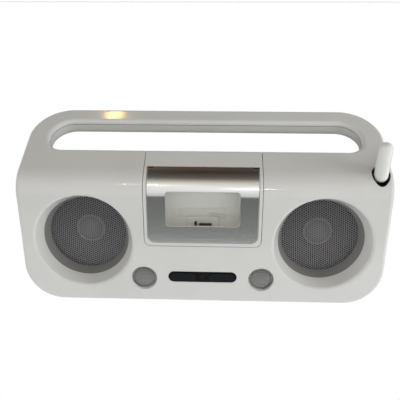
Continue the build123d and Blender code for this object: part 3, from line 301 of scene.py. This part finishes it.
def ir_mat():
    m = Mat("ir_filter", Specular_IOR_Level=0.18)
    m.set("Base Color", m.ramp(m.noise(300.0, 2.0), [(0.3, (0.004, 0.002, 0.002)), (0.7, (0.007, 0.003, 0.003))]))
    m.set("Roughness", m.range(m.noise(120.0, 4.0), 0.3, 0.7, 0.06, 0.14))
    m.set("Normal", m.bump(m.noise(500.0), 0.01, 0.0001))
    return m.m


M["ir"] = ir_mat()


def pcb_mat():
    m = Mat("solder_mask", Specular_IOR_Level=0.5)
    v = m.scaled(1, 1, 1)
    track = m.node("ShaderNodeTexBrick")
    for k, val in (("Scale", 190.0), ("Mortar Size", 0.035)):
        track.inputs[k].default_value = val
    track.inputs["Color1"].default_value = (0.012, 0.12, 0.045, 1)
    track.inputs["Color2"].default_value = (0.010, 0.10, 0.040, 1)
    track.inputs["Mortar"].default_value = (0.03, 0.24, 0.10, 1)
    m.link(m.scaled(1, 1, 1, (math.pi / 2, 0, 0)), track.inputs["Vector"])
    col = m.mix(m.range(m.noise(60.0, 3.0), 0.3, 0.7, 0.0, 0.35), track.outputs["Color"], (0.008, 0.07, 0.03))
    m.set("Base Color", col)
    m.set("Roughness", m.range(m.noise(200.0, 3.0), 0.3, 0.7, 0.28, 0.42))
    m.set("Normal", m.bump(track.outputs["Fac"], 0.2, 0.00005))
    return m.m


M["pcb"] = pcb_mat()


def rubber_mat():
    m = Mat("foot_rubber", Specular_IOR_Level=0.3)
    g = m.voronoi(1500.0)
    m.set("Base Color", m.ramp(m.noise(90.0, 5.0, 0.6), [(0.3, (0.055, 0.055, 0.056)), (0.75, (0.11, 0.11, 0.108))]))
    m.set("Roughness", m.range(m.noise(160.0, 4.0), 0.3, 0.7, 0.62, 0.85))
    m.set("Normal", m.bump(g, 0.3, 0.0002))
    return m.m


M["rubber"] = rubber_mat()

FINISH = {
    "front_housing": "white", "center_bezel": "white_bezel", "antenna_stub": "antenna_white",
    "rear_housing": "white_rear", "battery_door": "white_rear", "dock_door": "brushed",
    "door_hinge_pins": "dark_steel", "door_hinge_brackets": "dark_steel", "antenna_pin": "steel", "housing_screws": "steel", "woofer_screws": "steel",
    "battery_contacts": "nickel", "dock_bay": "bay", "dock_cradle": "cradle", "dock_connector": "black",
    "dock_key_pin": "black", "antenna_socket": "black", "antenna_swivel": "black", "rear_panel": "black",
    "dc_jack": "black", "audio_jack": "black", "antenna_jack": "nickel", "switch_body": "black",
    "power_switch": "black", "battery_tray": "black", "control_bezel": "black_gloss", "left_button": "key_black",
    "right_button": "key_black", "ir_window": "ir", "main_board": "pcb", "button_board": "pcb", "rubber_feet": "rubber",
}
for side in ("left", "right"):
    FINISH.update({
        side + "_woofer_ring": "ring", side + "_woofer_grille": "grille", side + "_tweeter_grille": "grille_fine",
        side + "_woofer_basket": "basket", side + "_woofer_cone": "cone", side + "_woofer_dust_cap": "cap",
        side + "_woofer_magnet": "magnet", side + "_tweeter_driver": "tweeter",
    })
for name, ob in NODES.items():
    ob.data.materials.clear()
    ob.data.materials.append(M[FINISH[name]])


# ---------------------------------------------------------------------------
# mesh helpers
# ---------------------------------------------------------------------------
def add_mesh(name, verts, faces, mat, body, smooth=True):
    me = bpy.data.meshes.new(name)
    me.from_pydata(verts, [], faces)
    me.validate()
    me.update()
    me.materials.append(mat)
    for p in me.polygons:
        p.use_smooth = smooth
    ob = bpy.data.objects.new(name, me)
    bpy.context.scene.collection.objects.link(ob)
    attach(ob, body)
    return ob


def perforated(name, node, pitch, hole_r, r_cells, r_rim, depth_at, thick, mat, rim=None, spin=0.0):
    """Punched sheet: staggered round holes, each a real hole with walls, on a disc facing -Y."""
    lo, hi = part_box(node)
    cx, cz = (lo.x + hi.x) / 2, (lo.z + hi.z) / 2
    verts, faces, index = [], [], {}
    cs, sn = math.cos(math.radians(spin)), math.sin(math.radians(spin))

    def vert(x, z, back):
        key = (round(x * 2e6), round(z * 2e6), back)
        if key not in index:
            index[key] = len(verts)
            r = math.hypot(x, z)
            verts.append((cx + x * cs - z * sn, depth_at(r) + (thick if back else 0.0), cz + x * sn + z * cs))
        return index[key]

    rows = int(r_cells / (pitch * 0.866)) + 2
    for j in range(-rows, rows + 1):
        for i in range(-rows - 2, rows + 3):
            x0 = (i + (0.5 if j % 2 else 0.0)) * pitch
            z0 = j * pitch * math.sqrt(3) / 2
            if math.hypot(x0, z0) > r_cells:
                continue
            ring = {}
            for back in (0, 1):
                inner, outer = [], []
                for k in range(12):
                    a = math.radians(30 * k)
                    ro = pitch / 2 if k % 2 == 0 else pitch / math.sqrt(3)
                    inner.append(vert(x0 + hole_r * math.cos(a), z0 + hole_r * math.sin(a), back))
                    outer.append(vert(x0 + ro * math.cos(a), z0 + ro * math.sin(a), back))
                ring[back] = (inner, outer)
            fi, fo = ring[0]
            bi, bo = ring[1]
            for k in range(12):
                n = (k + 1) % 12
                faces.append((fi[k], fi[n], fo[n], fo[k]))
                faces.append((bi[k], bo[k], bo[n], bi[n]))
                faces.append((fi[k], bi[k], bi[n], fi[n]))
    # close the outer border of the field, then lay the plain rim beside it
    count = {}
    for f in faces:
        for a, b in zip(f, f[1:] + f[:1]):
            key = (min(a, b), max(a, b))
            count[key] = count.get(key, 0) + 1
    border = {}
    for f in list(faces):
        for a, b in zip(f, f[1:] + f[:1]):
            if count[(min(a, b), max(a, b))] == 1:
                border[(a, b)] = True
    half = {}
    for (x, z, back), i in index.items():
        half.setdefault((x, z), {})[back] = i
    other = {}
    for paird in half.values():
        if 0 in paird and 1 in paird:
            other[paird[0]] = paird[1]
    for a, b in border:
        if a in other and b in other:
            faces.append((b, a, other[a], other[b]))
    prof = rim or [(r_cells + pitch * 0.62, 0.0), (r_rim, 0.0), (r_rim, thick), (r_cells + pitch * 0.62, thick)]
    seg = 96
    base = len(verts)
    for s in range(seg):
        a = 2 * math.pi * s / seg
        for r, d in prof:
            y = d if rim else depth_at(min(r, r_cells + pitch)) + d
            verts.append((cx + r * math.cos(a), y, cz + r * math.sin(a)))
    k = len(prof)
    for s in range(seg):
        t = (s + 1) % seg
        for q in range(k):
            w = (q + 1) % k
            faces.append((base + s * k + q, base + s * k + w, base + t * k + w, base + t * k + q))
    ob = add_mesh(name, verts, faces, mat, "cabinet", smooth=False)
    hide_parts(node)
    return ob


for side in ("left", "right"):
    lo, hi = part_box(side + "_woofer_grille")
    front = lo.y
    perforated(side + "_woofer_mesh", side + "_woofer_grille", 0.00275, 0.00118, 0.0434, 0.0454,
               lambda r, y=front: y, 0.0009, M["grille"], spin=82.0 if side == "left" else 94.0)
    lo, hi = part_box(side + "_tweeter_grille")
    front, R = lo.y, 0.0556
    dome = lambda r, y=front, R=R: y + R - math.sqrt(R * R - min(r, 0.0128) ** 2)
    perforated(side + "_tweeter_mesh", side + "_tweeter_grille", 0.0019, 0.00068, 0.0106, 0.016,
               dome, 0.0006, M["grille_fine"],
               rim=[(0.0116, dome(0.0116)), (0.0122, dome(0.0122)), (0.0124, dome(0.0124) + 0.0003), (0.0124, hi.y - 0.0008),
                    (0.0160, hi.y - 0.0008), (0.0160, hi.y - 0.0001), (0.0118, hi.y - 0.0001), (0.0116, dome(0.0116) + 0.0006)])


def lathe_y(name, cx, cz, profile, mat, seg=96, body="cabinet"):
    """Closed ring turned about an axis parallel to Y; profile = [(radius, y)]."""
    verts, faces = [], []
    k = len(profile)
    for s in range(seg):
        a = 2 * math.pi * s / seg
        for r, y in profile:
            verts.append((cx + r * math.cos(a), y, cz + r * math.sin(a)))
    for s in range(seg):
        t = (s + 1) % seg
        for q in range(k):
            w = (q + 1) % k
            faces.append((s * k + q, s * k + w, t * k + w, t * k + q))
    return add_mesh(name, verts, faces, mat, body)


# glue bead round each dust cap
for side in ("left", "right"):
    lo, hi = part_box(side + "_woofer_dust_cap")
    cx, cz = (lo.x + hi.x) / 2, (lo.z + hi.z) / 2
    r = (hi.x - lo.x) / 2
    prof = [(r + 0.0002 + 0.0011 * math.cos(t), hi.y - 0.0010 + 0.0011 * math.sin(t)) for t in [2 * math.pi * i / 12 for i in range(12)]]
    lathe_y(side + "_cap_bead", cx, cz, prof, M["cap_ring"])


# painted shade: a thin dark strip along the parting line between the front and rear housings, standing in for the
# shadow in the seam
def seam_shadow_strip():
    def tree(ob):
        mw = ob.matrix_world
        vs = [mw @ v.co for v in ob.data.vertices]
        ps = [tuple(p.vertices) for p in ob.data.polygons]
        return vs, ps, BVHTree.FromPolygons(vs, ps)

    fv, fp_, fb = tree(NODES["front_housing"])
    _, _, rb = tree(NODES["rear_housing"])
    weld, first = [], {}
    for v in fv:
        k = (round(v.x * 1e6), round(v.y * 1e6), round(v.z * 1e6))
        weld.append(first.setdefault(k, len(first)))
    points = {}
    for i, v in enumerate(fv):
        points.setdefault(weld[i], v)
    sides = {}
    for p in fp_:
        a, b, c = fv[p[0]], fv[p[1]], fv[p[2]]
        n = (b - a).cross(c - a)
        if n.length < 1e-12:
            continue
        n.normalize()
        mid = sum((fv[i] for i in p), Vector()) / len(p)
        for i, j in zip(p, p[1:] + p[:1]):
            key = (min(weld[i], weld[j]), max(weld[i], weld[j]))
            sides.setdefault(key, []).append((n, mid))
    verts, faces = [], []
    for (i, j), fs in sides.items():
        if len(fs) != 2 or fs[0][0].dot(fs[1][0]) > 0.75:
            continue
        a, b = points[i], points[j]
        t = b - a
        if t.length < 2e-5:
            continue
        m = (a + b) / 2
        near = rb.find_nearest(m)
        if near[3] is None or near[3] > 0.0004:
            continue
        t.normalize()
        free = []
        for n, c in fs:
            w = (c - m) - t * (c - m).dot(t)
            if w.length < 1e-9:
                continue
            w.normalize()
            p = m + w * 0.0003 + n * 0.00005
            if rb.ray_cast(p, n, 0.02)[0] is None and fb.ray_cast(p, n, 0.02)[0] is None:
                free.append((n, w))
        if len(free) != 1:
            continue
        n, w = free[0]
        base = len(verts)
        for q in (a - t * 0.00004, b + t * 0.00004):
            for dw, dn in ((-0.00022, -0.0001), (0.00022, -0.0001), (0.00022, 0.00003), (-0.00022, 0.00003)):
                verts.append(tuple(q + w * dw + n * dn))
        for k in range(4):
            l = (k + 1) % 4
            faces.append((base + k, base + l, base + 4 + l, base + 4 + k))
        faces.append((base + 3, base + 2, base + 1, base))
        faces.append((base + 4, base + 5, base + 6, base + 7))
    # the dark strip is painted shade for the seam, in the black plastic material
    return add_mesh("seam_shadow_strip", verts, faces, M["black"], "cabinet", smooth=False)


seam_shadow = seam_shadow_strip()

# battery contacts: stamped plates, conical springs and button contacts
def battery_contacts():
    lo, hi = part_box("battery_contacts")
    verts, faces = [], []

    def tube(path, r, seg=8):
        base = len(verts)
        n = len(path)
        for i, p in enumerate(path):
            a = path[max(i - 1, 0)]
            b = path[min(i + 1, n - 1)]
            d = (b - a).normalized()
            u = d.cross(Vector((1, 0, 0)))
            if u.length < 1e-6:
                u = Vector((0, 1, 0))
            u.normalize()
            v = d.cross(u)
            for s in range(seg):
                t = 2 * math.pi * s / seg
                q = p + u * (r * math.cos(t)) + v * (r * math.sin(t))
                verts.append(tuple(q))
        for i in range(n - 1):
            for s in range(seg):
                w = (s + 1) % seg
                faces.append((base + i * seg + s, base + i * seg + w, base + (i + 1) * seg + w, base + (i + 1) * seg + s))
        faces.append(tuple(base + s for s in range(seg))[::-1])
        faces.append(tuple(base + (n - 1) * seg + s for s in range(seg)))

    def plate(x0, x1, cy, cz, hy, hz, r):
        pts = []
        for qx, qz, a0 in ((1, 1, 0), (-1, 1, 90), (-1, -1, 180), (1, -1, 270)):
            for k in range(5):
                a = math.radians(a0 + 22.5 * k)
                pts.append((cy + qx * (hy - r) + r * math.cos(a), cz + qz * (hz - r) + r * math.sin(a)))
        base, n = len(verts), len(pts)
        for x in (x0, x1):
            verts.extend((x, y, z) for y, z in pts)
        faces.append(tuple(base + i for i in range(n))[::-1])
        faces.append(tuple(base + n + i for i in range(n)))
        for i in range(n):
            j = (i + 1) % n
            faces.append((base + i, base + j, base + n + j, base + n + i))

    cy = (lo.y + hi.y) / 2
    for cz in (0.035, 0.065):
        plate(lo.x, lo.x + 0.0006, cy, cz, 0.008, 0.009, 0.002)
        plate(hi.x - 0.0006, hi.x, cy, cz, 0.008, 0.009, 0.002)
        turns, path = 4.5, []
        for i in range(int(turns * 28) + 1):
            a = 2 * math.pi * i / 28
            f = i / (turns * 28)
            rr = 0.0066 - 0.0030 * f
            path.append(Vector((lo.x + 0.0011 + 0.0078 * max(0.0, f - 0.06) / 0.94, cy + rr * math.cos(a), cz + rr * math.sin(a))))
        tube(path, 0.00045)
        path = [Vector((hi.x - 0.0007 - 0.0012 * t, cy, cz)) for t in (0.0, 0.5, 1.0)]
        tube(path, 0.0030, 20)
    ob = add_mesh("battery_springs_and_plates", verts, faces, M["nickel"], "cabinet", smooth=False)
    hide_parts("battery_contacts")


battery_contacts()

# contact blades inside the dock plug
lo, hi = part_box("dock_connector")
verts, faces = [], []
n_pin = 9
for i in range(n_pin):
    x = lo.x + 0.0018 + (hi.x - lo.x - 0.0036) * i / (n_pin - 1)
    x0, x1 = x - 0.0003, x + 0.0003
    y0, y1 = lo.y + 0.0004, lo.y + 0.0015
    z0, z1 = lo.z + 0.0026, lo.z + 0.0036
    b = len(verts)
    verts += [(x0, y0, z0), (x1, y0, z0), (x1, y1, z0), (x0, y1, z0), (x0, y0, z1), (x1, y0, z1), (x1, y1, z1), (x0, y1, z1)]
    faces += [(b, b + 3, b + 2, b + 1), (b + 4, b + 5, b + 6, b + 7), (b, b + 1, b + 5, b + 4), (b + 1, b + 2, b + 6, b + 5), (b + 2, b + 3, b + 7, b + 6), (b + 3, b, b + 4, b + 7)]
pins = add_mesh("dock_connector_blades", verts, faces, M["gold"], "cabinet", smooth=False)

# ---------------------------------------------------------------------------
# stage: floor, sky, lamps
# ---------------------------------------------------------------------------
floor_me = bpy.data.meshes.new("floor")
s = 30.0
floor_me.from_pydata([(-s, -s, 0), (s, -s, 0), (s, s, 0), (-s, s, 0)], [], [(0, 1, 2, 3)])
floor = bpy.data.objects.new("floor", floor_me)
bpy.context.scene.collection.objects.link(floor)
fm = bpy.data.materials.new("pale_floor")
fm.use_nodes = True
fp = fm.node_tree.nodes["Principled BSDF"]
fp.inputs["Base Color"].default_value = (0.85, 0.85, 0.85, 1)
fp.inputs["Roughness"].default_value = 0.9
fp.inputs["Specular IOR Level"].default_value = 0.0
fp.inputs["Emission Color"].default_value = (0.9247, 0.9583, 1, 1)
FLOOR_GLOW = 0.42
fp.inputs["Emission Strength"].default_value = FLOOR_GLOW
floor_me.materials.append(fm)
floor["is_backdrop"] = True

# grey card on the floor, below the camera's view, seen only in reflections
CARD = (0.1872, 0.1947, 0.1809)
card_me = bpy.data.meshes.new("grey_card")
card_me.from_pydata([(-3, -0.78, 0.001), (3, -0.78, 0.001), (3, -0.20, 0.001), (-3, -0.20, 0.001)], [], [(0, 1, 2, 3)])
card = bpy.data.objects.new("grey_card", card_me)
bpy.context.scene.collection.objects.link(card)
km = bpy.data.materials.new("grey_card")
km.use_nodes = True
kt = km.node_tree
kt.nodes.clear()
ke = kt.nodes.new("ShaderNodeEmission")
ke.inputs["Color"].default_value = CARD + (1.0,)
ke.inputs["Strength"].default_value = 1.0
# a little lighter close to the cabinet
kc = kt.nodes.new("ShaderNodeTexCoord")
ks = kt.nodes.new("ShaderNodeSeparateXYZ")
kt.links.new(kc.outputs["Object"], ks.inputs[0])
kr = kt.nodes.new("ShaderNodeMapRange")
for key, v in (("From Min", -0.42), ("From Max", -0.22), ("To Min", 0.72), ("To Max", 1.45)):
    kr.inputs[key].default_value = v
kt.links.new(ks.outputs["Y"], kr.inputs["Value"])
kt.links.new(kr.outputs[0], ke.inputs["Strength"])
ko = kt.nodes.new("ShaderNodeOutputMaterial")
kt.links.new(ke.outputs[0], ko.inputs[0])
card_me.materials.append(km)
card.visible_camera = False
card.visible_diffuse = False
card.visible_shadow = False
card.visible_transmission = False
card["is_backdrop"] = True

# dimmer card behind, so that the undersides are not lit as strongly as the front
back_me = bpy.data.meshes.new("back_card")
back_me.from_pydata([(-4, 0.12, 0.001), (4, 0.12, 0.001), (4, 5.0, 0.001), (-4, 5.0, 0.001)], [], [(0, 1, 2, 3)])
back = bpy.data.objects.new("back_card", back_me)
bpy.context.scene.collection.objects.link(back)
bm = bpy.data.materials.new("back_card")
bm.use_nodes = True
bt = bm.node_tree
bt.nodes.clear()
be = bt.nodes.new("ShaderNodeEmission")
be.inputs["Color"].default_value = (0.16, 0.16, 0.155, 1.0)
bo = bt.nodes.new("ShaderNodeOutputMaterial")
bt.links.new(be.outputs[0], bo.inputs[0])
back_me.materials.append(bm)
back.visible_camera = False
back.visible_shadow = False
back.visible_transmission = False
back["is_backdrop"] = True

# pale even sheet over the whole floor, what the view itself sees
sheet_me = bpy.data.meshes.new("pale_sheet")
sheet_me.from_pydata([(-25, -25, 0.00005), (25, -25, 0.00005), (25, 25, 0.00005), (-25, 25, 0.00005)], [], [(0, 1, 2, 3)])
sheet = bpy.data.objects.new("pale_sheet", sheet_me)
bpy.context.scene.collection.objects.link(sheet)
sm = bpy.data.materials.new("pale_sheet")
sm.use_nodes = True
st = sm.node_tree
st.nodes.clear()
se = st.nodes.new("ShaderNodeEmission")
se.inputs["Color"].default_value = (1.0, 1.0, 1.0, 1.0)
so = st.nodes.new("ShaderNodeOutputMaterial")
st.links.new(se.outputs[0], so.inputs[0])
sheet_me.materials.append(sm)
sheet.visible_diffuse = False
sheet.visible_glossy = False
sheet.visible_shadow = False
sheet.visible_transmission = False
sheet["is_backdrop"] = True

# sky: one ramp over the height of a direction for the front, one for the back
FRONT_SKY = [(-90, (0.6, 0.6, 0.6)), (-6, (0.6, 0.6, 0.6)), (0, (0.6, 0.6133, 0.6267)), (10, (0.7, 0.7, 0.6933)), (28, (0.7467, 0.72, 0.6667)),
             (45, (0.5333, 0.5, 0.4467)), (60, (0.0867, 0.0767, 0.0633)), (78, (0.05, 0.0427, 0.0333)), (90, (0.02, 0.0167, 0.0133))]
BACK_SKY = [(-90, (0.6867, 0.6867, 0.6867)), (0, (0.6867, 0.6867, 0.6867)), (25, (0.5067, 0.52, 0.52)), (50, (0.1133, 0.0867, 0.0667)), (90, (0.02, 0.0167, 0.0133))]
SKY_SCALE = 1.5


def build_sky():
    w = bpy.data.worlds.new("studio")
    bpy.context.scene.world = w
    w.use_nodes = True
    t = w.node_tree
    t.nodes.clear()
    out = t.nodes.new("ShaderNodeOutputWorld")
    bg = t.nodes.new("ShaderNodeBackground")
    tc = t.nodes.new("ShaderNodeTexCoord")
    sep = t.nodes.new("ShaderNodeSeparateXYZ")
    t.links.new(tc.outputs["Generated"], sep.inputs[0])
    asin = t.nodes.new("ShaderNodeMath")
    asin.operation = "ARCSINE"
    t.links.new(sep.outputs["Z"], asin.inputs[0])
    mr = t.nodes.new("ShaderNodeMapRange")
    mr.inputs["From Min"].default_value = -math.pi / 2
    mr.inputs["From Max"].default_value = math.pi / 2
    t.links.new(asin.outputs[0], mr.inputs["Value"])
    ramps = []
    for stops in (FRONT_SKY, BACK_SKY):
        r = t.nodes.new("ShaderNodeValToRGB")
        e = r.color_ramp.elements
        while len(e) < len(stops):
            e.new(0.5)
        for el, (deg, col) in zip(e, stops):
            el.position = (deg + 90) / 180
            el.color = tuple(col) + (1.0,)
        t.links.new(mr.outputs[0], r.inputs["Fac"])
        ramps.append(r)
    side = t.nodes.new("ShaderNodeMapRange")
    side.interpolation_type = "SMOOTHSTEP"
    side.inputs["From Min"].default_value = -0.25
    side.inputs["From Max"].default_value = 0.25
    t.links.new(sep.outputs["Y"], side.inputs["Value"])
    mix = t.nodes.new("ShaderNodeMix")
    mix.data_type = "RGBA"
    t.links.new(side.outputs[0], mix.inputs["Factor"])
    t.links.new(ramps[0].outputs["Color"], mix.inputs[6])
    t.links.new(ramps[1].outputs["Color"], mix.inputs[7])
    t.links.new(mix.outputs[2], bg.inputs["Color"])
    bg.inputs["Strength"].default_value = SKY_SCALE
    t.links.new(bg.outputs[0], out.inputs[0])


build_sky()


def lamp(name, pos, target, size, power, colour=(1, 1, 1), size_y=None):
    d = bpy.data.lights.new(name, "AREA")
    d.shape = "RECTANGLE"
    d.size = size
    d.size_y = size_y or size
    d.energy = power
    d.color = colour
    ob = bpy.data.objects.new(name, d)
    bpy.context.scene.collection.objects.link(ob)
    ob.location = pos
    ob.rotation_mode = "QUATERNION"
    ob.rotation_quaternion = (Vector(target) - Vector(pos)).to_track_quat("-Z", "Y")
    return ob


LAMPS = [
    ("key_front", (0.258, -1.89, 0.905), (0, 0, 0.09), 0.05, 0.5, (0.92, 0.96, 1.0), 0.04),
    ("ceiling_lamp", (-0.489, 0.701, 2.041), (-0.105, 0.033, 0.195), 0.085, 0.55, (1.0, 0.56, 0.17), 0.022),
    ("ceiling_strip", (-0.42, -1.66, 1.28), (-0.08, -0.054, 0.141), 0.055, 0.45, (1.0, 0.90, 0.74), 0.03),
    ("side_soft", (1.5, -0.40, 0.42), (0, -0.03, 0.08), 0.5, 8.0, (1.0, 1.0, 1.0), 0.5),
]
for spec in LAMPS:
    ob = lamp(*spec)
    if spec[0] == "side_soft":
        ob.visible_glossy = False

lo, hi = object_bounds()
